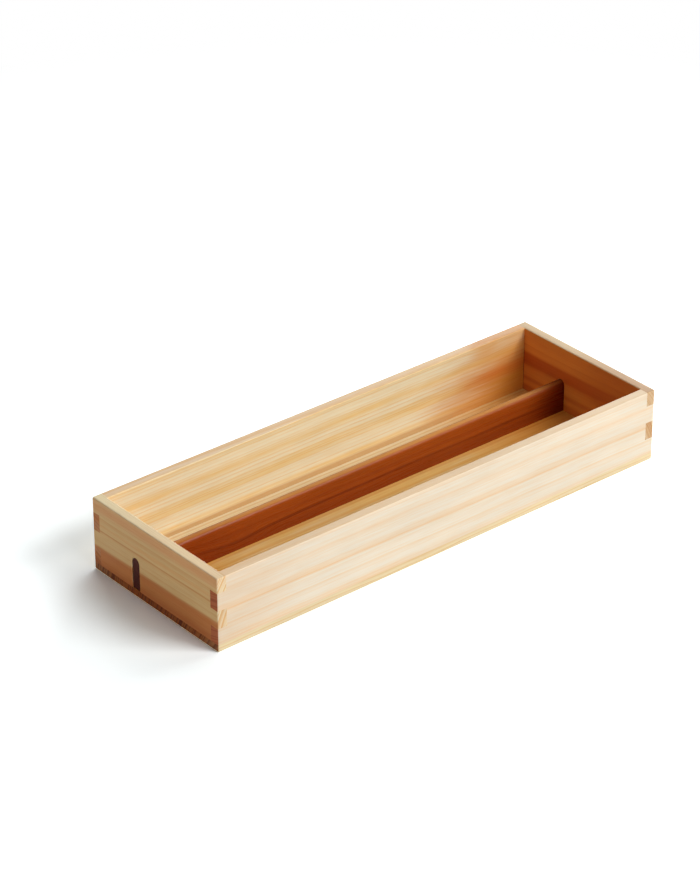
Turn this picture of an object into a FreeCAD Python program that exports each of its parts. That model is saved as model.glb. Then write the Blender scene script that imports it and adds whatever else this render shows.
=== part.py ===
"""Open wooden tool tray: finger-jointed walls, a planted-on bottom board and a lengthwise
divider that slides out through slots in the end walls.

Sizes are in millimetres and +Z is up. The origin is the centre of the underside. X runs along
the tray, and the long wall at -Y is the one nearest to the user. Every arris of the finished
tray is softened after glue-up, so each wall is cut out of one softened block.
"""

import FreeCAD
import Part

import os

# Overall sizes
LENGTH = 420.0
WIDTH = 145.0
WALL_HEIGHT = 54.0
WALL_THICKNESS = 8.0
BOARD_THICKNESS = 6.0

# Corner fingers, counted down from the rim. The end walls own the first one.
TOP_FINGER = 12.0
FINGER_PITCH = 14.5
SHORTEST_FINGER = 7.0

# The divider, and how it fits its slots
DIVIDER_THICKNESS = 8.0
DIVIDER_HEIGHT = 26.0
BACK_COMPARTMENT = 38.5
SLOT_CLEARANCE = 0.3
DIVIDER_INSET = 0.3

# Softened arrises
OUTER_ROUND = 1.0
RIM_INNER_ROUND = 1.0
DIVIDER_END_ROUND = 0.4

# Wooden pins that hold the bottom board to the walls' lower edges
PIN_DIAMETER = 2.4
PIN_GRIP = 12.0
PIN_FIT = 0.05
PIN_END_GAP = 0.5
PIN_RECESS = 0.1
LONG_WALL_PINS = 5
FRONT_COMPARTMENT_PINS = 2
PIN_CORNER_MARGIN = 25.0

# Worked out from the sizes above
HEIGHT = BOARD_THICKNESS + WALL_HEIGHT
HALF_LENGTH = LENGTH / 2
HALF_WIDTH = WIDTH / 2
INNER_HALF_LENGTH = HALF_LENGTH - WALL_THICKNESS
INNER_HALF_WIDTH = HALF_WIDTH - WALL_THICKNESS
DIVIDER_BACK_FACE = INNER_HALF_WIDTH - BACK_COMPARTMENT
DIVIDER_FRONT_FACE = DIVIDER_BACK_FACE - DIVIDER_THICKNESS
DIVIDER_CENTRE = (DIVIDER_BACK_FACE + DIVIDER_FRONT_FACE) / 2

# How far a cutting tool runs past the face that it cuts, and how closely positions are compared
OVERRUN = 5.0
SAME_PLACE = 1e-6


def block(low_x, low_y, low_z, high_x, high_y, high_z):
    """A plain box between two corners."""
    corner = FreeCAD.Vector(low_x, low_y, low_z)
    return Part.makeBox(high_x - low_x, high_y - low_y, high_z - low_z, corner)


def edges_where(shape, test):
    """The edges of a shape whose bounding box passes a test."""
    return [edge for edge in shape.Edges if test(edge.BoundBox)]


def softened_tray():
    """The whole tray in one piece, hollowed out, with its arrises softened."""
    tray = block(-HALF_LENGTH, -HALF_WIDTH, 0, HALF_LENGTH, HALF_WIDTH, HEIGHT)
    tray = tray.makeFillet(OUTER_ROUND, tray.Edges)
    hollow = block(
        -INNER_HALF_LENGTH,
        -INNER_HALF_WIDTH,
        BOARD_THICKNESS,
        INNER_HALF_LENGTH,
        INNER_HALF_WIDTH,
        HEIGHT + OVERRUN,
    )
    tray = tray.cut(hollow)
    inner_rim = edges_where(
        tray,
        lambda box: box.ZMin > HEIGHT - SAME_PLACE
        and box.XMax < INNER_HALF_LENGTH + SAME_PLACE
        and box.XMin > -INNER_HALF_LENGTH - SAME_PLACE
        and box.YMax < INNER_HALF_WIDTH + SAME_PLACE
        and box.YMin > -INNER_HALF_WIDTH - SAME_PLACE,
    )
    return tray.makeFillet(RIM_INNER_ROUND, inner_rim)


def finger_spans():
    """The lowest and highest Z of each corner finger, from the rim down."""
    levels = [HEIGHT]
    level = HEIGHT - TOP_FINGER
    while level > BOARD_THICKNESS + SHORTEST_FINGER:
        levels.append(level)
        level -= FINGER_PITCH
    levels.append(BOARD_THICKNESS)
    return [(levels[i + 1], levels[i]) for i in range(len(levels) - 1)]


def long_wall(side, tray):
    """A long wall. side is -1 for the front and 1 for the back. It owns every second finger."""
    outer_y = side * HALF_WIDTH
    inner_y = side * INNER_HALF_WIDTH
    low_y = min(outer_y, inner_y)
    high_y = max(outer_y, inner_y)
    wall = block(-INNER_HALF_LENGTH, low_y, BOARD_THICKNESS, INNER_HALF_LENGTH, high_y, HEIGHT)
    fingers = [
        block(-HALF_LENGTH, low_y, low_z, HALF_LENGTH, high_y, high_z)
        for low_z, high_z in finger_spans()[1::2]
    ]
    return wall.multiFuse(fingers).removeSplitter().common(tray)


def end_wall(side, tray):
    """An end wall. side is -1 for the left and 1 for the right. It owns the finger at the rim."""
    outer_x = side * HALF_LENGTH
    inner_x = side * INNER_HALF_LENGTH
    low_x = min(outer_x, inner_x)
    high_x = max(outer_x, inner_x)
    wall = block(low_x, -INNER_HALF_WIDTH, BOARD_THICKNESS, high_x, INNER_HALF_WIDTH, HEIGHT)
    fingers = [
        block(low_x, -HALF_WIDTH, low_z, high_x, HALF_WIDTH, high_z)
        for low_z, high_z in finger_spans()[0::2]
    ]
    wall = wall.multiFuse(fingers).removeSplitter().common(tray)
    return wall.cut(slot_cutter(low_x - OVERRUN, high_x + OVERRUN))


def round_topped_bar(low_x, high_x, foot_z, half_width, top_z):
    """A bar along X whose top is a half round as wide as the bar."""
    spring_z = top_z - half_width
    left_foot = FreeCAD.Vector(low_x, DIVIDER_CENTRE - half_width, foot_z)
    right_foot = FreeCAD.Vector(low_x, DIVIDER_CENTRE + half_width, foot_z)
    right_spring = FreeCAD.Vector(low_x, DIVIDER_CENTRE + half_width, spring_z)
    left_spring = FreeCAD.Vector(low_x, DIVIDER_CENTRE - half_width, spring_z)
    crown = FreeCAD.Vector(low_x, DIVIDER_CENTRE, top_z)
    outline = Part.Wire(
        [
            Part.makeLine(left_foot, right_foot),
            Part.makeLine(right_foot, right_spring),
            Part.Arc(right_spring, crown, left_spring).toShape(),
            Part.makeLine(left_spring, left_foot),
        ]
    )
    return Part.Face(outline).extrude(FreeCAD.Vector(high_x - low_x, 0, 0))


def slot_cutter(low_x, high_x):
    """What is cut from an end wall for the divider. The slot is open at the wall's lower edge."""
    half_width = DIVIDER_THICKNESS / 2 + SLOT_CLEARANCE
    top_z = BOARD_THICKNESS + DIVIDER_HEIGHT + SLOT_CLEARANCE
    return round_topped_bar(low_x, high_x, BOARD_THICKNESS - OVERRUN, half_width, top_z)


def divider():
    """The dark divider. It stands on the bottom board and ends just inside the outer faces."""
    end_x = HALF_LENGTH - DIVIDER_INSET
    top_z = BOARD_THICKNESS + DIVIDER_HEIGHT
    bar = round_topped_bar(-end_x, end_x, BOARD_THICKNESS, DIVIDER_THICKNESS / 2, top_z)
    end_edges = edges_where(bar, lambda box: box.XMax - box.XMin < SAME_PLACE)
    return bar.makeFillet(DIVIDER_END_ROUND, end_edges)


def spread(low, high, count):
    """count places between two limits, the first and last of them on the limits."""
    return [low + (high - low) * i / (count - 1) for i in range(count)]


def pin_places():
    """Where the pins stand in plan, on the middle line of every wall and clear of the slots."""
    wall_y = HALF_WIDTH - WALL_THICKNESS / 2
    wall_x = HALF_LENGTH - WALL_THICKNESS / 2
    reach = HALF_LENGTH - PIN_CORNER_MARGIN
    places = [(x, y) for y in (-wall_y, wall_y) for x in spread(-reach, reach, LONG_WALL_PINS)]
    front_gap = (DIVIDER_FRONT_FACE + INNER_HALF_WIDTH) / (FRONT_COMPARTMENT_PINS + 1)
    end_ys = [(DIVIDER_BACK_FACE + INNER_HALF_WIDTH) / 2]
    end_ys += [-INNER_HALF_WIDTH + front_gap * (i + 1) for i in range(FRONT_COMPARTMENT_PINS)]
    return places + [(x, y) for x in (-wall_x, wall_x) for y in end_ys]


def round_bar(place, low_z, high_z, radius):
    """An upright cylinder at a place in plan."""
    foot = FreeCAD.Vector(place[0], place[1], low_z)
    return Part.makeCylinder(radius, high_z - low_z, foot)


def pins():
    """The pins, each a separate solid, set a little way up from the underside."""
    top_z = BOARD_THICKNESS + PIN_GRIP
    return [round_bar(place, PIN_RECESS, top_z, PIN_DIAMETER / 2) for place in pin_places()]


def pin_holes():
    """The drilled holes, through the bottom board and into the walls above it."""
    radius = PIN_DIAMETER / 2 + PIN_FIT
    top_z = BOARD_THICKNESS + PIN_GRIP + PIN_END_GAP
    return [round_bar(place, -OVERRUN, top_z, radius) for place in pin_places()]


def bottom_board(tray):
    """The bottom board. It lies under all four walls and reaches their outer faces."""
    slab = block(-HALF_LENGTH, -HALF_WIDTH, 0, HALF_LENGTH, HALF_WIDTH, BOARD_THICKNESS)
    return slab.common(tray)


def main():
    """Build every piece and write one STEP file for each."""
    tray = softened_tray()
    holes = pin_holes()
    drilled = {
        "front_wall": long_wall(-1, tray),
        "back_wall": long_wall(1, tray),
        "left_end_wall": end_wall(-1, tray),
        "right_end_wall": end_wall(1, tray),
        "bottom_board": bottom_board(tray),
    }
    pieces = {name: shape.cut(holes) for name, shape in drilled.items()}
    pieces["divider"] = divider()
    pieces["bottom_pins"] = Part.makeCompound(pins())
    os.makedirs("parts", exist_ok=True)
    for name, shape in pieces.items():
        shape.exportStep(os.path.join("parts", name + ".step"))
        print(name, "solids", len(shape.Solids), "volume", round(shape.Volume, 1), shape.isValid())


main()
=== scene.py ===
"""Looks of the open wooden tool tray: five pale softwood boards, a dark hardwood divider and the
pins under the bottom board, on a white floor in soft light from the right.

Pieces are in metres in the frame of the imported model, and the wood's pattern is in millimetres.
It is a solid pattern: every board is cut out of its own imagined log, so the lines on a face run
over the arris into the rings on the end grain.
"""

import logging
import math
from dataclasses import dataclass, field
from enum import Enum
from typing import Union

import bpy
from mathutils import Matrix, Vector


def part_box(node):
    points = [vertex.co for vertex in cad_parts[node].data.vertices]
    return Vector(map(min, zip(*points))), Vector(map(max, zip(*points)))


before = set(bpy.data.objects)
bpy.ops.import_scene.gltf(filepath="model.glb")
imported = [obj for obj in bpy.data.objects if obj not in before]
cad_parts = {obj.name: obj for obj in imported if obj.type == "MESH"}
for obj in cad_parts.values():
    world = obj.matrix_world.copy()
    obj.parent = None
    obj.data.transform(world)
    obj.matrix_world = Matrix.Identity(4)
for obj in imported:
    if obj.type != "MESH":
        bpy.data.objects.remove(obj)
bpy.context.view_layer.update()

LOG = logging.getLogger("tray")
MILLIMETRES = 1000.0

Socket = bpy.types.NodeSocket
Value = Union[float, Socket]
Rgb = tuple[float, float, float]
Rgba = tuple[float, float, float, float]
Stops = list[tuple[float, float]]


def linear(red: float, green: float, blue: float) -> Rgba:
    """A display colour, 0 to 255 a channel, as the linear colour that shaders take.

    Each channel is (c + 0.055) / 1.055 to the power 2.4, or c / 12.92 where it is very dark.

    Args:
        red: display red.
        green: display green.
        blue: display blue.

    Returns:
        The linear colour with an alpha of 1.
    """
    shares = [channel / 255.0 for channel in (red, green, blue)]
    lin = [s / 12.92 if s <= 0.04045 else ((s + 0.055) / 1.055) ** 2.4 for s in shares]
    return (lin[0], lin[1], lin[2], 1.0)


def opaque(tint: Rgb) -> Rgba:
    """A tint with an alpha of 1."""
    return tint + (1.0,)


class Axis(Enum):
    """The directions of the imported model's frame."""

    X = 0
    Y = 1
    Z = 2


class Side(Enum):
    """The two ends of a piece's box along one axis."""

    LOW = 0
    HIGH = 1


def face_at(node: str, side: Side, axis: Axis) -> float:
    """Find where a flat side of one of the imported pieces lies.

    Args:
        node: the piece's name.
        side: which side of its box.
        axis: the direction across that side.

    Returns:
        The place along the axis, in millimetres.
    """
    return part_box(node)[side.value][axis.value] * MILLIMETRES


RIM_HEIGHT = face_at("front_wall", Side.HIGH, Axis.Z)


class Grain(Enum):
    """The direction that a board's fibres run in, and the other two directions across them."""

    ALONG_X = (Axis.X, Axis.Y, Axis.Z)
    ALONG_Y = (Axis.Y, Axis.X, Axis.Z)


class Blend(Enum):
    """The ways that one colour is mixed into another: laid over it or multiplied with it."""

    OVER = "MIX"
    TIMES = "MULTIPLY"


class Bench:
    """Adds shader nodes to one material or world and joins them up.

    The three numbers are the places of the colour sockets among those of a mix node.
    """

    MIX_FIRST = 6
    MIX_SECOND = 7
    MIX_RESULT = 2

    def __init__(self, owner: Union[bpy.types.Material, bpy.types.World]) -> None:
        """Turn on the owner's nodes.

        Args:
            owner: the material or world to work on.
        """
        owner.use_nodes = True
        self.tree = owner.node_tree

    def standing(self, name: str) -> bpy.types.Node:
        """A node that the owner came with."""
        return self.tree.nodes[name]

    def node(self, kind: str, **settings: object) -> bpy.types.Node:
        """Add a node and set its properties.

        Args:
            kind: Blender's name for the node type.
            **settings: property names and values.

        Returns:
            The new node.
        """
        new = self.tree.nodes.new(kind)
        for key, value in settings.items():
            setattr(new, key, value)
        return new

    def feed(self, socket: Socket, value: object) -> None:
        """Link a socket to another one, or set it to a plain value.

        Args:
            socket: the input to feed.
            value: another node's output, a number or a colour.
        """
        if isinstance(value, bpy.types.NodeSocket):
            self.tree.links.new(value, socket)
        else:
            socket.default_value = value

    def math(self, operation: str, *values: Value) -> Socket:
        """Take one arithmetic step.

        Args:
            operation: Blender's name for it.
            *values: numbers or sockets, in the operation's order.

        Returns:
            The result.
        """
        step = self.node("ShaderNodeMath", operation=operation)
        for socket, value in zip(step.inputs, values):
            self.feed(socket, value)
        return step.outputs[0]

    def add(self, first: Value, second: Value) -> Socket:
        """The sum of two values."""
        return self.math("ADD", first, second)

    def times(self, first: Value, second: Value) -> Socket:
        """The product of two values."""
        return self.math("MULTIPLY", first, second)

    def scaled(self, value: Value, factor: Value, shift: Value = 0.0) -> Socket:
        """A value times a factor, plus a shift."""
        return self.math("MULTIPLY_ADD", value, factor, shift)

    def most(self, first: Value, *others: Value) -> Socket:
        """Find the largest of several values.

        Args:
            first: one of them.
            *others: the rest.

        Returns:
            The largest.
        """
        largest = first
        for other in others:
            largest = self.math("MAXIMUM", largest, other)
        return largest

    def point(self, x: Value, y: Value, z: Value) -> Socket:
        """Join three values into a vector or a colour.

        Args:
            x: the first.
            y: the second.
            z: the third.

        Returns:
            The vector.
        """
        joined = self.node("ShaderNodeCombineXYZ")
        for socket, value in zip(joined.inputs, (x, y, z)):
            self.feed(socket, value)
        return joined.outputs[0]

    def parts(self, vector: Socket) -> bpy.types.NodeOutputs:
        """Split a vector.

        Args:
            vector: the vector.

        Returns:
            Its three numbers, by the names X, Y and Z.
        """
        split = self.node("ShaderNodeSeparateXYZ")
        self.feed(split.inputs[0], vector)
        return split.outputs

    def noise(self, place: Socket, detail: float, rough: float = 0.5) -> Socket:
        """Smooth noise, one feature a unit.

        Args:
            place: where it is read.
            detail: how many finer layers it has.
            rough: how strong each finer layer is.

        Returns:
            The noise, from 0 to 1.
        """
        cloud = self.node("ShaderNodeTexNoise")
        inputs = {"Vector": place, "Scale": 1.0, "Detail": detail, "Roughness": rough}
        for name, value in inputs.items():
            self.feed(cloud.inputs[name], value)
        return cloud.outputs["Fac"]

    def line_noise(self, place: Value, scale: float) -> Socket:
        """Smooth noise along one number.

        Args:
            place: the number.
            scale: features in one unit of it.

        Returns:
            The noise, from 0 to 1.
        """
        cloud = self.node("ShaderNodeTexNoise", noise_dimensions="1D")
        self.feed(cloud.inputs["W"], place)
        self.feed(cloud.inputs["Scale"], scale)
        return cloud.outputs["Fac"]

    def chance(self, number: Socket) -> Socket:
        """Draw an unrelated value for each whole number.

        Args:
            number: the whole number.

        Returns:
            Its value, from 0 to 1.
        """
        dice = self.node("ShaderNodeTexWhiteNoise", noise_dimensions="1D")
        self.feed(dice.inputs["W"], number)
        return dice.outputs["Value"]

    def mix(self, share: Value, first: object, second: object, blend: Blend = Blend.OVER) -> Socket:
        """Mix two colours.

        Args:
            share: how far the second one acts, from 0 to 1.
            first: the colour to start from.
            second: the colour to mix in.
            blend: the way that it is mixed in.

        Returns:
            The mixed colour.
        """
        both = self.node("ShaderNodeMix", data_type="RGBA", blend_type=blend.value)
        self.feed(both.inputs["Factor"], share)
        self.feed(both.inputs[self.MIX_FIRST], first)
        self.feed(both.inputs[self.MIX_SECOND], second)
        return both.outputs[self.MIX_RESULT]

    def mixed_shader(self, share: Socket, first: Socket, second: Socket) -> Socket:
        """Mix two shaders.

        Args:
            share: how far the second one shows, from 0 to 1.
            first: the first shader.
            second: the second shader.

        Returns:
            The mixed shader.
        """
        both = self.node("ShaderNodeMixShader")
        for socket, value in zip(both.inputs, (share, first, second)):
            self.feed(socket, value)
        return both.outputs[0]

    def curve(self, value: Value, stops: Stops) -> Socket:
        """Read a number off an eased curve.

        Args:
            value: the place on the curve, from 0 to 1.
            stops: the places that the curve goes through and its height at each.

        Returns:
            The curve's height.
        """
        ramp = self.node("ShaderNodeValToRGB")
        ramp.color_ramp.interpolation = "EASE"
        elements = ramp.color_ramp.elements
        elements.remove(elements[1])
        (place, height), *others = stops
        elements[0].position = place
        elements[0].color = opaque((height,) * 3)
        for place, height in others:
            elements.new(place).color = opaque((height,) * 3)
        self.feed(ramp.inputs[0], value)
        return ramp.outputs[0]

    def span(
        self, value: Value, low: float, high: float, to_low: float = 0.0, to_high: float = 1.0
    ) -> Socket:
        """Carry a number smoothly from one range to another, and hold it at the ends.

        Args:
            value: the number.
            low: the first range's start.
            high: its end.
            to_low: what the start becomes.
            to_high: what the end becomes.

        Returns:
            The carried number.
        """
        ranged = self.node("ShaderNodeMapRange", interpolation_type="SMOOTHSTEP")
        inputs = {"Value": value, "From Min": low, "From Max": high, "To Min": to_low, "To Max": to_high}
        for name, plain in inputs.items():
            self.feed(ranged.inputs[name], plain)
        return ranged.outputs[0]


@dataclass(frozen=True)
class Place:
    """A point's place in a board, in millimetres.

    Attributes:
        along: along the fibres.
        first: in the first direction across them.
        second: in the second direction across them.
    """

    along: Value
    first: Value
    second: Value


@dataclass(frozen=True)
class Facing:
    """How far a surface is each kind of face, from 0 to 1.

    Attributes:
        low: the wide face towards the low side of the first direction.
        high: the wide face towards the high side.
        end: end grain.
        rim: the upward edge.
    """

    low: Socket
    high: Socket
    end: Socket
    rim: Socket


@dataclass(frozen=True)
class Cloud:
    """Smooth noise, drawn out along a board.

    Attributes:
        along: features in a millimetre along the fibres.
        across: features in a millimetre across them.
        detail: how many finer layers it has.
        rough: how strong each finer layer is.
        shift: moves it along the board, in features.
        low: the noise that is read as the least.
        high: the noise that is read as the most.
        least: the least that is read.
        most: the most that is read.
    """

    along: float
    across: float
    detail: float
    rough: float = 0.5
    shift: float = 0.0
    low: float = 0.0
    high: float = 1.0
    least: float = 0.0
    most: float = 1.0

    def raw(self, bench: Bench, place: Place, seed: float = 0.0) -> Socket:
        """The noise as it is.

        Args:
            bench: where its nodes go.
            place: where in the board it is read.
            seed: moves it to another part of the noise.

        Returns:
            The noise, from 0 to 1.
        """
        spot = bench.point(
            bench.scaled(place.along, self.along, seed + self.shift),
            bench.times(place.first, self.across),
            bench.times(place.second, self.across),
        )
        return bench.noise(spot, self.detail, self.rough)

    def read(self, bench: Bench, place: Place, seed: float = 0.0) -> Socket:
        """The noise read between its least and its most."""
        return bench.span(self.raw(bench, place, seed), self.low, self.high, self.least, self.most)


# The noises that lines wander sideways by, and how wide each swings for a wander of 1, in millimetres
SLOW_BEND = Cloud(along=0.0055, across=0.010, detail=1.0)
QUICK_BEND = Cloud(along=0.022, across=0.05, detail=1.0, shift=7.0)
SLOW_SWING = 2.4
QUICK_SWING = 0.7

# The fine fibres, the slow clouding of the board, and how fully the warm bands show
FIBRES = Cloud(along=0.045, across=1.1, detail=4.0, rough=0.62, low=0.38, high=0.72)
CLOUDING = Cloud(along=0.012, across=0.05, detail=3.0, rough=0.55, low=0.25, high=0.75, least=0.95, most=1.03)
MOTTLE = Cloud(
    along=0.013, across=0.10, detail=3.0, rough=0.55, shift=3.0, low=0.3, high=0.68, least=0.6, most=1.1
)

# The open pores of end grain
PITS = Cloud(along=0.4, across=3.0, detail=2.0, rough=0.7, low=0.3, high=0.6, least=0.82, most=1.0)

# The ragged edge of stains and of painted shade, how much of its size that takes, and where it starts to fade
# and is gone
RAGGED = Cloud(along=0.03, across=0.35, detail=3.0)
RAGGED_SHARE = 0.3
STAIN_FADE = (0.2, 1.1)

# The late wood over a year, how uneven the years are, and how far the weakest ring shows
LATE_WOOD = [(0.0, 0.3), (0.1, 0.0), (0.5, 0.12), (0.84, 0.75), (0.93, 1.0), (1.0, 0.3)]
UNEVEN_SCALE = 0.11
UNEVEN_YEARS = 3.2
WEAKEST_RING = 0.4

# How squarely a surface faces along the fibres, or up, where it starts to count and where it is full
END_TURNED = (0.6, 0.85)
RIM_TURNED = (0.6, 0.95)

# The room kept past the outermost bands, and before a band's last full stop, in millimetres
BAND_ROOM = 0.1
STOP_GAP = 0.01

# How much rougher end grain and fibres are, how deep fibres lie in the relief, and its strength
END_ROUGHER = 0.22
FIBRES_ROUGHER = 0.08
FIBRES_SUNK = -0.5
BUMP_STRENGTH = 0.3


@dataclass(frozen=True)
class Band:
    """A broad stripe of other wood that follows the rings.

    Attributes:
        start: where it starts on the board's show face, in millimetres.
        end: where it ends there.
        strength: how far it goes to its colour, 0 to 1.
        edge: how far each of its edges blends out, in millimetres.
    """

    start: float
    end: float
    strength: float
    edge: float = 3.0

    def stops(self) -> Stops:
        """Where the band begins, is full, is full for the last time and ends.

        Returns:
            Places on the show face and the strength at each of them.
        """
        blend = min(self.edge, self.end - self.start) / 2
        return [
            (self.start - blend, 0.0),
            (self.start + blend, self.strength),
            (self.end - blend + STOP_GAP, self.strength),
            (self.end + blend, 0.0),
        ]


@dataclass(frozen=True)
class Patch:
    """A soft-edged stained place on a board, or a patch of painted shade or painted reflection.

    Attributes:
        along: its middle along the board, in millimetres.
        across: its middle in Z, or in Y on a board that lies flat.
        reach: its half length along the board.
        spread: its half width.
        strength: how far its middle goes to its colour, 0 to 1.
        colour: its display colour.
    """

    along: float
    across: float
    reach: float
    spread: float
    strength: float
    colour: Rgb


@dataclass(frozen=True)
class Knot:
    """A place that the lines bow round, as they do near a knot just under the surface.

    Attributes:
        along: its middle along the board, in millimetres.
        across: its middle in the board's second cross direction.
        reach: its half length along the board.
        spread: its half width.
        bow: how far the lines bow aside, in millimetres.
    """

    along: float
    across: float
    reach: float
    spread: float
    bow: float


@dataclass(frozen=True)
class Timber:
    """The finish of one board, cut out of its own log. Lengths are in millimetres.

    Attributes:
        name: the material's name.
        grain: which way the fibres run.
        pith: where the log's centre passes, across the board (first and second direction).
        pale: display colour of the early wood.
        late: display colour of the late wood in each ring.
        show_face: where the face that the bands are placed on lies, across the board's thickness.
        warm: display colour of the warm bands, if there are any.
        heart: display colour of the heartwood bands, if there are any.
        warm_bands: warm bands, by distance below the rim, or by Y on a board that lies flat.
        heart_bands: heartwood bands, placed likewise.
        ring: the mean width of a year's ring.
        wander: how far the lines wander sideways along the board.
        drift: how far the lines sink in a metre along the board.
        lean: how much of that bend goes into the first direction too.
        patches: stained places, and patches of painted shade and painted reflection.
        knots: places that the lines bow round.
        end_tint: what end grain multiplies the colour by.
        end_late: what the late wood's lines multiply end grain by.
        heart_on_end: how much of the heartwood, the stains and the painted shade in the patches shows on end
            grain, 0 to 1.
        stain_and_shade_on_high: how much of the stains and the painted shade in the patches shows on the high
            wide face, 0 to 1.
        low_painted_shade: painted shade that the wide face towards the low side of the first direction
            multiplies by.
        high_painted_shade: painted shade that the wide face towards the high side multiplies by.
        rim_painted_light: painted light that the upward edge multiplies by: painted shade where it is under
            1, a painted highlight where it is over 1.
        turned: how squarely a wide face faces aside where its painted shade starts and where it is full.
        lying: true for a board that lies flat.
        rings_show: how strongly the rings colour long grain, 0 to 1.
        fibres_show: how strongly the fine fibres colour long grain, 0 to 1.
        rough: roughness of planed long grain.
        shine: specular level.
        relief: depth of the raised late wood and of the fibres.
        seed: moves the random pattern to another place.
    """

    name: str
    grain: Grain
    pith: tuple[float, float]
    pale: Rgb
    late: Rgb
    show_face: float = 0.0
    warm: Rgb = (0.0, 0.0, 0.0)
    heart: Rgb = (0.0, 0.0, 0.0)
    warm_bands: tuple[Band, ...] = ()
    heart_bands: tuple[Band, ...] = ()
    ring: float = 3.0
    wander: float = 1.5
    drift: float = 0.0
    lean: float = 0.4
    patches: tuple[Patch, ...] = ()
    knots: tuple[Knot, ...] = ()
    end_tint: Rgb = (0.80, 0.66, 0.56)
    end_late: Rgb = (0.80, 0.66, 0.56)
    heart_on_end: float = 1.0
    stain_and_shade_on_high: float = 1.0
    # Painted light and shade by the way a face turns: a darker, warmer wide face stands for a shaded side,
    # and the rim's multiplier for the top's shade or highlight.
    low_painted_shade: Rgb = (1.0, 1.0, 1.0)
    high_painted_shade: Rgb = (1.0, 1.0, 1.0)
    rim_painted_light: Rgb = (1.0, 1.0, 1.0)
    turned: tuple[float, float] = (0.8, 0.97)
    lying: bool = False
    rings_show: float = 0.35
    fibres_show: float = 0.25
    rough: float = 0.55
    shine: float = 0.35
    relief: float = 0.04
    seed: float = 0.0

    def depth_of(self, place: float) -> float:
        """The distance from the pith of a place on the show face.

        Args:
            place: millimetres below the rim, or Y on a board that lies flat.

        Returns:
            The distance in millimetres.
        """
        if self.lying:
            return math.hypot(place - self.pith[0], self.show_face - self.pith[1])
        return math.hypot(self.show_face - self.pith[0], RIM_HEIGHT - place - self.pith[1])


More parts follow.
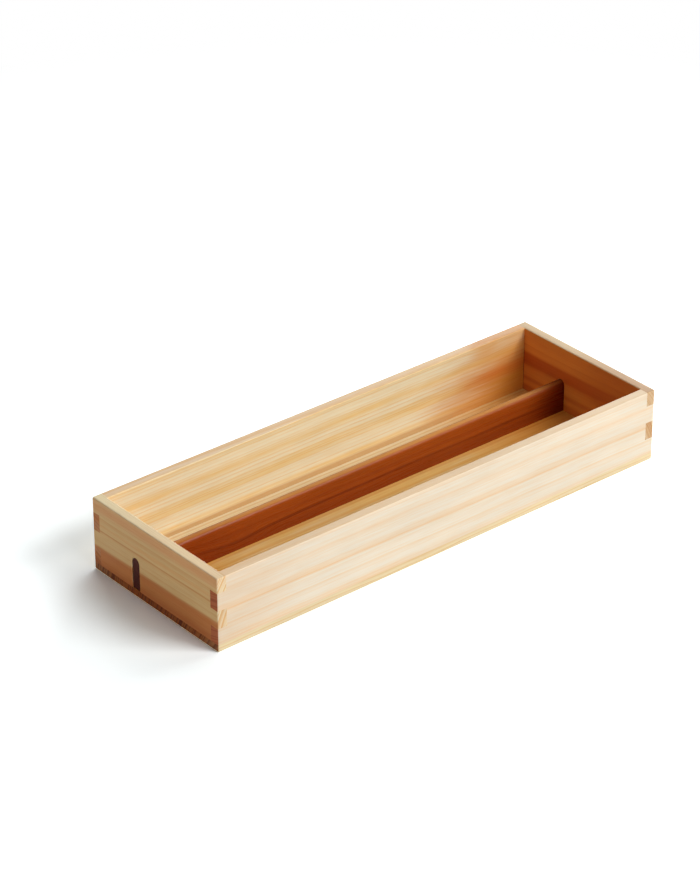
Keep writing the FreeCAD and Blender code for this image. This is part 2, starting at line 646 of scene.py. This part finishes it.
class Figure:
    """The figure of one board: what its timber looks like at each point, as shader nodes.

    A point's place in the board is bent to its place in the log, whose distance from the pith
    says which ring and which bands it lies in.
    """

    def __init__(self, timber: Timber) -> None:
        """Work out where a point lies in the log and which way the surface faces there.

        Args:
            timber: the finish to draw.
        """
        self.timber = timber
        self.material = bpy.data.materials.new(timber.name)
        self.bench = Bench(self.material)
        coords = self.bench.node("ShaderNodeTexCoord").outputs
        self.sawn = self.in_board(coords["Object"])
        self.facing = self.faced(coords["Normal"])
        self.grown = self.in_log()
        self.distance = self.from_pith()
        self.across = self.sawn.first if timber.lying else self.grown.second
        self.ring, self.year = self.rings()
        self.fibres = FIBRES.read(self.bench, self.grown, timber.seed)

    def in_board(self, coords: Socket) -> Place:
        """Turn Object coordinates into a place in the board.

        Args:
            coords: the coordinates, in metres.

        Returns:
            The place along the fibres and in the two directions across them.
        """
        scaled = self.bench.node("ShaderNodeVectorMath", operation="SCALE")
        self.bench.feed(scaled.inputs[0], coords)
        self.bench.feed(scaled.inputs["Scale"], MILLIMETRES)
        parts = self.bench.parts(scaled.outputs[0])
        along, first, second = self.timber.grain.value
        return Place(parts[along.name], parts[first.name], parts[second.name])

    def faced(self, normal: Socket) -> Facing:
        """Sort the surface by the way that it faces.

        Args:
            normal: the surface's direction.

        Returns:
            How far it is each kind of face.
        """
        bench = self.bench
        parts = bench.parts(normal)
        along, first, _ = self.timber.grain.value
        return Facing(
            low=bench.span(bench.times(parts[first.name], -1.0), *self.timber.turned),
            high=bench.span(parts[first.name], *self.timber.turned),
            end=bench.span(bench.math("ABSOLUTE", parts[along.name]), *END_TURNED),
            rim=bench.span(parts[Axis.Z.name], *RIM_TURNED),
        )

    def swing(self, cloud: Cloud, width: float) -> Socket:
        """Turn a noise into a sideways swing that is even to both sides.

        Args:
            cloud: the noise.
            width: how wide it swings for a wander of 1, in millimetres.

        Returns:
            The swing in millimetres.
        """
        full = width * self.timber.wander
        noise = cloud.raw(self.bench, self.sawn, self.timber.seed)
        return self.bench.scaled(noise, full, -full / 2)

    def in_log(self) -> Place:
        """Bend the place in the board to the place in the log.

        The bend is a slow and a quick noise and the drift along the board, less what each knot
        pulls the lines aside by: its bow times the place across it, over its half width, times e
        to the power of minus the squared distance from its middle.

        Returns:
            The place in the log, whose fibres are straight.
        """
        bench, timber, sawn = self.bench, self.timber, self.sawn
        swings = bench.add(self.swing(SLOW_BEND, SLOW_SWING), self.swing(QUICK_BEND, QUICK_SWING))
        bend = bench.scaled(sawn.along, timber.drift / MILLIMETRES, swings)
        for knot in timber.knots:
            far = self.ellipse(knot, sawn.second)
            pull = bench.math("EXPONENT", bench.times(bench.times(far, far), -1.0))
            bow = knot.bow / knot.spread
            aside = bench.scaled(sawn.second, bow, -knot.across * bow)
            bend = bench.math("SUBTRACT", bend, bench.times(pull, aside))
        return Place(sawn.along, bench.scaled(bend, timber.lean, sawn.first), bench.add(bend, sawn.second))

    def ellipse(self, spot: Union[Patch, Knot], across: Socket) -> Socket:
        """Measure how far a point is from a spot's middle.

        Args:
            spot: the spot.
            across: the point's place across it.

        Returns:
            The distance, 1 on the spot's ellipse.
        """
        bench = self.bench
        run = bench.scaled(self.sawn.along, 1.0 / spot.reach, -spot.along / spot.reach)
        rise = bench.scaled(across, 1.0 / spot.spread, -spot.across / spot.spread)
        return self.length(run, rise)

    def from_pith(self) -> Socket:
        """Measure how far a point is from the log's centre line.

        Returns:
            The distance in millimetres.
        """
        run = self.bench.add(self.grown.first, -self.timber.pith[0])
        rise = self.bench.add(self.grown.second, -self.timber.pith[1])
        return self.length(run, rise)

    def length(self, run: Socket, rise: Socket) -> Socket:
        """The straight distance of a run and a rise: the root of the sum of their squares."""
        squares = self.bench.add(self.bench.times(run, run), self.bench.times(rise, rise))
        return self.bench.math("SQRT", squares)

    def rings(self) -> tuple[Socket, Socket]:
        """Find the ring that a point lies in.

        The distance over the ring's width, with a slow noise added, is the year. Its fraction
        rises slowly through the early wood, peaks in the late wood and drops at the year's end.

        Returns:
            The late wood's strength from 0 to 1, and the number of the year.
        """
        bench = self.bench
        uneven = bench.times(bench.line_noise(self.distance, UNEVEN_SCALE), UNEVEN_YEARS)
        years = bench.scaled(self.distance, 1.0 / self.timber.ring, uneven)
        late = bench.curve(bench.math("FRACT", years), LATE_WOOD)
        return late, bench.math("FLOOR", years)

    def draw(self) -> bpy.types.Material:
        """Colour the surface and give it its gloss and relief.

        Returns:
            The finished material, patterned by Object coordinates.
        """
        colour = self.tinted(self.lined(self.wood()))
        self.bench.feed(self.bench.standing("Principled BSDF").inputs["Base Color"], colour)
        self.finish_surface()
        return self.material

    def wood(self) -> Socket:
        """The wood before its rings are drawn: pale, with its warm bands, heartwood and stains, and the
        patches of painted shade and painted reflection.

        Returns:
            Its colour.
        """
        bench, timber = self.bench, self.timber
        fullness = MOTTLE.read(bench, Place(self.sawn.along, self.distance, 0.0), timber.seed)
        warm = bench.times(self.banding(timber.warm_bands), fullness)
        colour = bench.mix(warm, linear(*timber.pale), linear(*timber.warm))
        on_end = bench.scaled(self.facing.end, timber.heart_on_end - 1.0, 1.0)
        heart = bench.times(self.banding(timber.heart_bands), on_end)
        colour = bench.mix(heart, colour, linear(*timber.heart))
        # Stains and patches of painted shade and reflection, kept off end grain and the high face as far as
        # set.
        on_high = bench.scaled(self.facing.high, timber.stain_and_shade_on_high - 1.0, 1.0)
        shown = bench.times(on_end, on_high)
        for patch in timber.patches:
            colour = bench.mix(bench.times(self.stain_and_painted_light(patch), shown), colour, linear(*patch.colour))
        return colour

    def banding(self, bands: tuple[Band, ...]) -> Socket:
        """Read a set of bands off at a point's distance from the pith.

        Args:
            bands: the bands.

        Returns:
            Their strength, from 0 to 1.
        """
        bench, distance = self.bench, self.distance
        if not bands:
            return bench.times(distance, 0.0)
        placed = [stop for band in bands for stop in band.stops()]
        stops = sorted((self.timber.depth_of(place), height) for place, height in placed)
        low, high = stops[0][0] - BAND_ROOM, stops[-1][0] + BAND_ROOM
        share = bench.scaled(distance, 1.0 / (high - low), -low / (high - low))
        return bench.curve(share, [((depth - low) / (high - low), height) for depth, height in stops])

    def stain_and_painted_light(self, patch: Patch) -> Socket:
        """Find a patch's strength at a point, with its edge ragged along the fibres; the patches are stains,
        painted shade and painted reflection.

        Args:
            patch: the patch.

        Returns:
            Its strength, from 0 to 1.
        """
        bench = self.bench
        place = bench.point(
            bench.times(self.sawn.along, RAGGED.along),
            self.timber.seed,
            bench.times(self.across, RAGGED.across),
        )
        middle = bench.add(self.ellipse(patch, self.across), -RAGGED_SHARE / 2)
        far = bench.scaled(bench.noise(place, RAGGED.detail), RAGGED_SHARE, middle)
        return bench.span(far, *STAIN_FADE, to_low=patch.strength, to_high=0.0)

    def lined(self, wood: Socket) -> Socket:
        """Draw the late wood of each ring and the fine fibres in the wood.

        Long grain is multiplied towards the late colour over the pale one, more in some years.
        End grain is multiplied towards the late wood's own end tint.

        Args:
            wood: the wood's colour.

        Returns:
            The lined wood's colour.
        """
        bench, timber, end = self.bench, self.timber, self.facing.end
        tint = tuple(late / pale for late, pale in zip(linear(*timber.late), linear(*timber.pale)))
        long_grain = bench.scaled(end, -1.0, 1.0)
        show = bench.scaled(bench.chance(self.year), timber.rings_show, WEAKEST_RING * timber.rings_show)
        ringed = bench.times(bench.times(self.ring, show), long_grain)
        colour = bench.mix(ringed, wood, tint, Blend.TIMES)
        streaked = bench.times(bench.times(self.fibres, timber.fibres_show), long_grain)
        colour = bench.mix(streaked, colour, tint, Blend.TIMES)
        return bench.mix(bench.times(self.ring, end), colour, opaque(timber.end_late), Blend.TIMES)

    def tinted(self, colour: Socket) -> Socket:
        """Cloud the board over, and give each kind of face its tint: end grain its own colour, the wide faces
        and the rims their painted light and shade.

        Args:
            colour: the wood's colour.

        Returns:
            The tinted colour, with its painted light and shade.
        """
        facing, timber = self.facing, self.timber
        tints = (
            (1.0, self.grey(CLOUDING, timber.seed)),
            # the wide faces' painted shade, then the rim's painted shade and highlight
            (facing.low, opaque(timber.low_painted_shade)),
            (facing.high, opaque(timber.high_painted_shade)),
            (facing.rim, opaque(timber.rim_painted_light)),
            (facing.end, opaque(timber.end_tint)),
            (facing.end, self.grey(PITS)),
        )
        for share, tint in tints:
            colour = self.bench.mix(share, colour, tint, Blend.TIMES)
        return colour

    def grey(self, cloud: Cloud, seed: float = 0.0) -> Socket:
        """A noise as a grey."""
        shade = cloud.read(self.bench, self.sawn, seed)
        return self.bench.point(shade, shade, shade)

    def finish_surface(self) -> None:
        """Set the gloss, and raise the late wood a little over the fibres."""
        bench, timber = self.bench, self.timber
        surface = bench.standing("Principled BSDF").inputs
        rough = bench.scaled(self.facing.end, END_ROUGHER, timber.rough)
        bench.feed(surface["Roughness"], bench.scaled(self.fibres, FIBRES_ROUGHER, rough))
        bench.feed(surface["Specular IOR Level"], timber.shine)
        bump = bench.node("ShaderNodeBump")
        bench.feed(bump.inputs["Strength"], BUMP_STRENGTH)
        bench.feed(bump.inputs["Distance"], timber.relief / MILLIMETRES)
        bench.feed(bump.inputs["Height"], bench.scaled(self.fibres, FIBRES_SUNK, self.ring))
        bench.feed(surface["Normal"], bump.outputs[0])


FRONT_WALL = Timber(
    name="front_wall_wood",
    grain=Grain.ALONG_X,
    pith=(-110.0, -160.0),
    show_face=face_at("front_wall", Side.LOW, Axis.Y),
    pale=(236, 225, 206),
    late=(235, 211, 176),
    warm=(236, 212, 180),
    heart=(232, 203, 166),
    warm_bands=(
        Band(-3, 3, 0.5),
        Band(9.5, 15, 0.7, 5),
        Band(24, 31, 1.0, 5),
        Band(32, 34, 0.4, 2),
        Band(41.5, 43.5, 0.3, 2),
        Band(50, 60, 0.9),
    ),
    heart_bands=(Band(26.5, 28.5, 0.35, 2),),
    ring=3.2,
    wander=1.2,
    drift=8.0,
    patches=(Patch(-205, 28, 75, 60, 0.45, (236, 207, 174)),),
    end_tint=(0.68, 0.23, 0.11),
    end_late=(0.72, 0.62, 0.60),
    # Painted shade: the rim darker than the faces.
    rim_painted_light=(0.77, 0.68, 0.56),
    rings_show=0.7,
    fibres_show=0.5,
    seed=1.3,
)
BACK_WALL = Timber(
    name="back_wall_wood",
    grain=Grain.ALONG_X,
    pith=(130.0, -150.0),
    show_face=face_at("back_wall", Side.LOW, Axis.Y),
    pale=(241, 230, 197),
    late=(236, 204, 144),
    warm=(238, 210, 150),
    heart=(206, 158, 94),
    warm_bands=(
        Band(-2, 4, 0.5),
        Band(12, 18.5, 0.95, 5),
        Band(26, 35.5, 1.0, 5),
        Band(38, 39.5, 0.4, 1.5),
        Band(42, 43.5, 0.5, 1.5),
        Band(45, 49.5, 1.0, 4),
    ),
    heart_bands=(Band(49.5, 57, 0.8),),
    ring=2.6,
    wander=1.2,
    drift=-4.0,
    patches=(
        # The next four: orange wood towards the right end, with the painted shade that the right end wall
        # casts there laid into it, deepest low in the corner.
        Patch(228, 22, 140, 54, 1.0, (210, 132, 44)),
        Patch(184, 29, 56, 8, 0.7, (206, 110, 40)),
        Patch(205, 15, 125, 18, 0.5, (204, 130, 38)),
        Patch(200, 50, 70, 20, 0.3, (224, 172, 92)),
        Patch(160, 54, 19, 11, 0.5, (222, 160, 84)),
    ),
    knots=(Knot(160, 62, 14, 10, 4.0),),
    end_tint=(0.76, 0.37, 0.23),
    end_late=(0.76, 0.68, 0.62),
    # The stains and painted shade show only faintly on the outer face.
    stain_and_shade_on_high=0.3,
    # Painted shade, slight: the outer face a little darker.
    high_painted_shade=(0.98, 0.94, 0.95),
    # Painted shade: the rim darker than the faces.
    rim_painted_light=(0.80, 0.71, 0.73),
    rings_show=0.65,
    fibres_show=0.4,
    seed=4.1,
)
LEFT_END = Timber(
    name="left_end_wood",
    grain=Grain.ALONG_Y,
    pith=(-68.0, -30.0),
    show_face=face_at("left_end_wall", Side.LOW, Axis.X),
    pale=(238, 217, 176),
    late=(222, 178, 128),
    warm=(235, 196, 146),
    heart=(212, 148, 91),
    warm_bands=(Band(17.0, 20.0, 0.6, 2),),
    heart_bands=(Band(22.6, 23.6, 0.6, 1.2), Band(37.5, 70, 1.0, 5)),
    ring=2.8,
    wander=0.35,
    drift=13.0,
    lean=-0.4,
    patches=(
        Patch(0, 55.5, 400, 6.5, 0.85, (235, 190, 150)),
        Patch(0, 4, 300, 13, 0.6, (190, 118, 68)),
    ),
    end_tint=(1.06, 1.10, 1.14),
    end_late=(0.90, 0.60, 0.34),
    heart_on_end=0.25,
    # Painted shade: the outer face darker and warmer, as the shaded side.
    low_painted_shade=(1.0, 0.82, 0.56),
    # Painted shade: the rim a little darker than the faces.
    rim_painted_light=(0.82, 0.89, 0.87),
    rings_show=0.5,
    fibres_show=0.35,
    seed=8.7,
)
RIGHT_END = Timber(
    name="right_end_wood",
    grain=Grain.ALONG_Y,
    pith=(68.0, -40.0),
    show_face=face_at("right_end_wall", Side.LOW, Axis.X),
    pale=(230, 202, 160),
    late=(214, 168, 116),
    warm=(226, 188, 140),
    heart=(200, 138, 66),
    warm_bands=(Band(3, 8, 0.5),),
    heart_bands=(Band(18.5, 30, 1.0, 4), Band(40, 43, 0.5), Band(47, 70, 0.6)),
    ring=2.6,
    wander=1.5,
    end_tint=(0.98, 1.0, 1.03),
    patches=(
        Patch(-56, 40, 74, 70, 0.7, (202, 154, 108)),
        # Painted shade: a thin dark line down the inner face where it meets the back wall.
        Patch(65.2, 28, 1.8, 34, 0.85, (96, 50, 20)),
    ),
    end_late=(0.84, 0.66, 0.50),
    heart_on_end=0.5,
    # The stains and painted shade stay off the outer face.
    stain_and_shade_on_high=0.0,
    # Painted shade: the inner face deep orange-brown, as the shaded side.
    low_painted_shade=(0.92, 0.38, 0.08),
    # Painted shade: the rim darker than the faces.
    rim_painted_light=(0.68, 0.67, 0.63),
    rings_show=0.35,
    seed=5.5,
)
BOTTOM_BOARD = Timber(
    name="bottom_board_wood",
    grain=Grain.ALONG_X,
    pith=(-190.0, -70.0),
    show_face=face_at("bottom_board", Side.HIGH, Axis.Z),
    pale=(236, 221, 184),
    late=(220, 178, 112),
    warm=(233, 194, 116),
    heart=(222, 164, 78),
    warm_bands=(Band(-90, -66, 0.15), Band(-62, 53, 1.0, 6)),
    heart_bands=(
        Band(-50, -44, 0.5),
        Band(-30, -26, 0.5),
        Band(-8, -3, 0.6),
        Band(6, 9, 0.6),
        Band(15, 19, 0.7),
    ),
    ring=3.4,
    wander=1.8,
    patches=(
        # Painted shade of the right end wall: deep orange on the floor near it.
        Patch(222, 10, 135, 60, 0.85, (220, 138, 38)),
        # Darker and more golden near the left end wall.
        Patch(-205, 5, 90, 50, 0.85, (208, 150, 48)),
        # Painted shade of the right end wall, behind the divider.
        Patch(208, 62, 120, 26, 0.85, (226, 176, 88)),
    ),
    end_tint=(0.50, 0.22, 0.11),
    end_late=(0.40, 0.26, 0.18),
    lying=True,
    rings_show=0.6,
    seed=2.9,
)
DIVIDER = Timber(
    name="divider_hardwood",
    grain=Grain.ALONG_X,
    pith=(90.0, -60.0),
    show_face=face_at("divider", Side.LOW, Axis.Y),
    pale=(180, 108, 54),
    late=(160, 86, 38),
    warm=(166, 92, 42),
    heart=(136, 66, 26),
    warm_bands=(Band(44, 60, 0.9, 4),),
    heart_bands=(Band(42.5, 44.5, 0.8, 1.5),),
    ring=4.5,
    wander=2.0,
    patches=(
        # Painted shade of the right end wall: the divider's right end dark.
        Patch(212, 18, 52, 44, 1.0, (118, 44, 12)),
        # Painted reflection: a lighter golden stretch along the middle of the top.
        Patch(80, 26, 90, 16, 0.4, (196, 122, 62)),
        Patch(-175, 20, 70, 40, 0.5, (150, 76, 30)),
    ),
    knots=(Knot(-122, 24, 28, 20, 13.0), Knot(-178, 6, 18, 20, 9.0)),
    end_tint=(0.22, 0.07, 0.02),
    end_late=(0.80, 0.75, 0.70),
    # Painted shade: the sides darker and redder than the top.
    low_painted_shade=(0.60, 0.34, 0.13),
    high_painted_shade=(0.60, 0.34, 0.13),
    # Painted highlight: the crown lighter.
    rim_painted_light=(1.05, 1.35, 1.3),
    # How far round the crown the sides' painted shade reaches, which leaves the painted highlight as a thin
    # strip.
    turned=(0.35, 0.96),
    rings_show=0.5,
    fibres_show=0.4,
    rough=0.26,
    shine=0.13,
    relief=0.03,
    seed=6.2,
)
PINS = Timber(
    name="pin_wood",
    grain=Grain.ALONG_X,
    pith=(0.0, -300.0),
    pale=(186, 150, 100),
    late=(160, 118, 70),
    ring=0.8,
    wander=0.2,
    rough=0.7,
    seed=3.3,
)


@dataclass
class Dressed:
    """A sub-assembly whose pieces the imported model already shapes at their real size.

    Attributes:
        finishes: each piece's name and the timber that it is cut from.
    """

    finishes: dict[str, Timber]

    def dress(self) -> None:
        """Give every piece its timber in place of the plain material it came with."""
        for node, timber in self.finishes.items():
            material = Figure(timber).draw()
            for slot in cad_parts[node].material_slots:
                slot.material = material
            LOG.info("dressed %s in %s", node, timber.name)


@dataclass
class Tray(Dressed):
    """The glued box: four walls that lock with fingers, the bottom board and its pins."""

    finishes: dict[str, Timber] = field(
        default_factory=lambda: {
            "front_wall": FRONT_WALL,
            "back_wall": BACK_WALL,
            "left_end_wall": LEFT_END,
            "right_end_wall": RIGHT_END,
            "bottom_board": BOTTOM_BOARD,
            "bottom_pins": PINS,
        }
    )


@dataclass
class Divider(Dressed):
    """The loose bar that slides along the tray through the slots in its ends."""

    finishes: dict[str, Timber] = field(default_factory=lambda: {"divider": DIVIDER})


def direction(azimuth: float, elevation: float) -> Vector:
    """Find the direction of a place as the tray sees it.

    Args:
        azimuth: degrees round from -Y towards +X.
        elevation: degrees above the floor.

    Returns:
        The direction, with a length of 1.
    """
    turn, rise = math.radians(azimuth), math.radians(elevation)
    return Vector((math.sin(turn) * math.cos(rise), -math.cos(turn) * math.cos(rise), math.sin(rise)))


def stand(data: Union[bpy.types.Light, bpy.types.Camera], spot: Vector, back: Vector) -> bpy.types.Object:
    """Stand a lamp or a camera in the scene.

    Args:
        data: the lamp or the camera.
        spot: where it stands.
        back: the direction that its back is turned to.

    Returns:
        The object that holds it.
    """
    rig = bpy.data.objects.new(data.name, data)
    bpy.context.scene.collection.objects.link(rig)
    rig.location = spot
    rig.rotation_mode = "QUATERNION"
    rig.rotation_quaternion = back.to_track_quat("Z", "Y")
    return rig


@dataclass(frozen=True)
class Softbox:
    """A square studio lamp aimed at the tray.

    Attributes:
        name: the lamp's name.
        azimuth: degrees round from -Y towards +X.
        elevation: degrees above the floor.
        level: light on a surface that faces it, 1 for one on which a colour renders as written.
        distance: metres from the tray.
        size: metres along one side.
    """

    name: str
    azimuth: float
    elevation: float
    level: float
    distance: float = 4.0
    size: float = 1.8

    def place(self) -> None:
        """Make the lamp. Its power is level times pi squared times the distance squared."""
        lamp = bpy.data.lights.new(self.name, "AREA")
        lamp.shape = "SQUARE"
        lamp.size = self.size
        lamp.energy = self.level * math.pi**2 * self.distance**2
        back = direction(self.azimuth, self.elevation)
        stand(lamp, back * self.distance, back)
        LOG.info("placed %s", self.name)


@dataclass
class Studio:
    """The white floor, the soft light and the camera.

    Attributes:
        floor_half: half the floor's side, in metres.
        floor_drop: how far the floor lies below the tray, so that the two faces don't coincide.
        floor_bounce: how light the floor is where it lights the tray.
        floor_seen: how light the camera sees it in full light, each channel brought past white.
        shadow_reach: metres from the tray's middle where plain white starts and where it is full.
        ambient: the sky's strength where it lights the tray.
        lens: the focal length in millimetres.
        sensor: the width of the picture behind the lens in millimetres.
        azimuth: degrees that the camera stands round from -Y towards +X.
        elevation: degrees that it stands above the tray.
        distance: metres from the tray's middle, before it is shifted.
        aside: metres that it is then shifted to its right.
        above: metres that it is shifted up.
        middle: the height of the tray's middle, in metres.
        lamps: the lamps.
    """

    floor_half: float = 6.0
    floor_drop: float = 0.0002
    floor_bounce: float = 0.6
    floor_seen: Rgb = (1.24, 1.30, 1.31)
    shadow_reach: tuple[float, float] = (0.5, 0.9)
    ambient: float = 0.01
    lens: float = 137.3
    sensor: float = 36.0
    azimuth: float = -39.949
    elevation: float = 29.709
    distance: float = 2.46915
    aside: float = -0.02307
    above: float = 0.02916
    middle: float = RIM_HEIGHT / MILLIMETRES / 2
    lamps: tuple[Softbox, ...] = (
        Softbox("key_softbox", azimuth=30, elevation=38, level=0.72),
        Softbox("front_softbox", azimuth=0, elevation=38, level=0.29),
        Softbox("side_softbox", azimuth=90, elevation=38, level=0.28),
        Softbox("back_softbox", azimuth=150, elevation=38, level=0.19),
        Softbox("low_softbox", azimuth=120, elevation=12, level=0.89),
        Softbox("left_softbox", azimuth=-90, elevation=12, level=0.20),
        Softbox("under_softbox", azimuth=90, elevation=-90, level=0.25),
    )

    def build(self) -> None:
        """Make everything round the tray."""
        self.lay_floor()
        for lamp in self.lamps:
            lamp.place()
        self.hang_sky()
        self.set_camera()

    def lay_floor(self) -> None:
        """Lay a flat square floor, which isn't part of the object."""
        half, level = self.floor_half, -self.floor_drop
        mesh = bpy.data.meshes.new("floor")
        corners = [(-half, -half, level), (half, -half, level), (half, half, level), (-half, half, level)]
        mesh.from_pydata(corners, [], [(0, 1, 2, 3)])
        mesh.materials.append(self.floor_material())
        floor = bpy.data.objects.new("floor", mesh)
        bpy.context.scene.collection.objects.link(floor)
        floor.visible_shadow = False
        LOG.info("laid the floor")

    def floor_material(self) -> bpy.types.Material:
        """Make the floor matt white, plain white where no shadow falls, and clear from below.

        Returns:
            The material, which is lighter for the camera than for the tray.
        """
        material = bpy.data.materials.new("floor_white")
        bench = Bench(material)
        rays = bench.node("ShaderNodeLightPath").outputs
        seen = bench.most(rays["Is Camera Ray"], rays["Is Glossy Ray"], rays["Is Transmission Ray"])
        bounce = self.floor_bounce
        shades = [bench.scaled(seen, level - bounce, bounce) for level in self.floor_seen]
        matt = bench.node("ShaderNodeBsdfDiffuse")
        bench.feed(matt.inputs["Color"], bench.point(*shades))
        white = bench.node("ShaderNodeEmission")
        length = bench.node("ShaderNodeVectorMath", operation="LENGTH")
        bench.feed(length.inputs[0], bench.node("ShaderNodeTexCoord").outputs["Object"])
        far = bench.times(bench.span(length.outputs["Value"], *self.shadow_reach), seen)
        top = bench.mixed_shader(far, matt.outputs[0], white.outputs[0])
        clear = bench.node("ShaderNodeBsdfTransparent")
        below = bench.node("ShaderNodeNewGeometry").outputs["Backfacing"]
        both = bench.mixed_shader(below, top, clear.outputs[0])
        bench.feed(bench.standing("Material Output").inputs["Surface"], both)
        return material

    def hang_sky(self) -> None:
        """Hang a sky that lights the tray dimly and that the camera sees white."""
        world = bpy.data.worlds.new("studio")
        bpy.context.scene.world = world
        bench = Bench(world)
        rays = bench.node("ShaderNodeLightPath").outputs
        seen = bench.most(rays["Is Camera Ray"], rays["Is Transmission Ray"])
        sky = bench.standing("Background").inputs
        bench.feed(sky["Color"], (1.0, 1.0, 1.0, 1.0))
        bench.feed(sky["Strength"], bench.scaled(seen, 1.0 - self.ambient, self.ambient))

    def set_camera(self) -> None:
        """Set the camera at the photographed angle: back from the tray's middle, then aside and up."""
        back = direction(self.azimuth, self.elevation)
        right = (-back).cross(Vector((0, 0, 1))).normalized()
        up = right.cross(-back)
        data = bpy.data.cameras.new("camera")
        data.sensor_width = self.sensor
        data.lens = self.lens
        aim = Vector((0, 0, self.middle))
        spot = aim + back * self.distance + right * self.aside + up * self.above
        bpy.context.scene.camera = stand(data, spot, back)
        LOG.info("set the camera")


def main() -> None:
    """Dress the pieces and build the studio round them."""
    logging.basicConfig(level=logging.INFO, format="%(name)s: %(message)s")
    bpy.context.scene.view_settings.view_transform = "Standard"
    Tray().dress()
    Divider().dress()
    Studio().build()


if __name__ == "__main__":
    main()
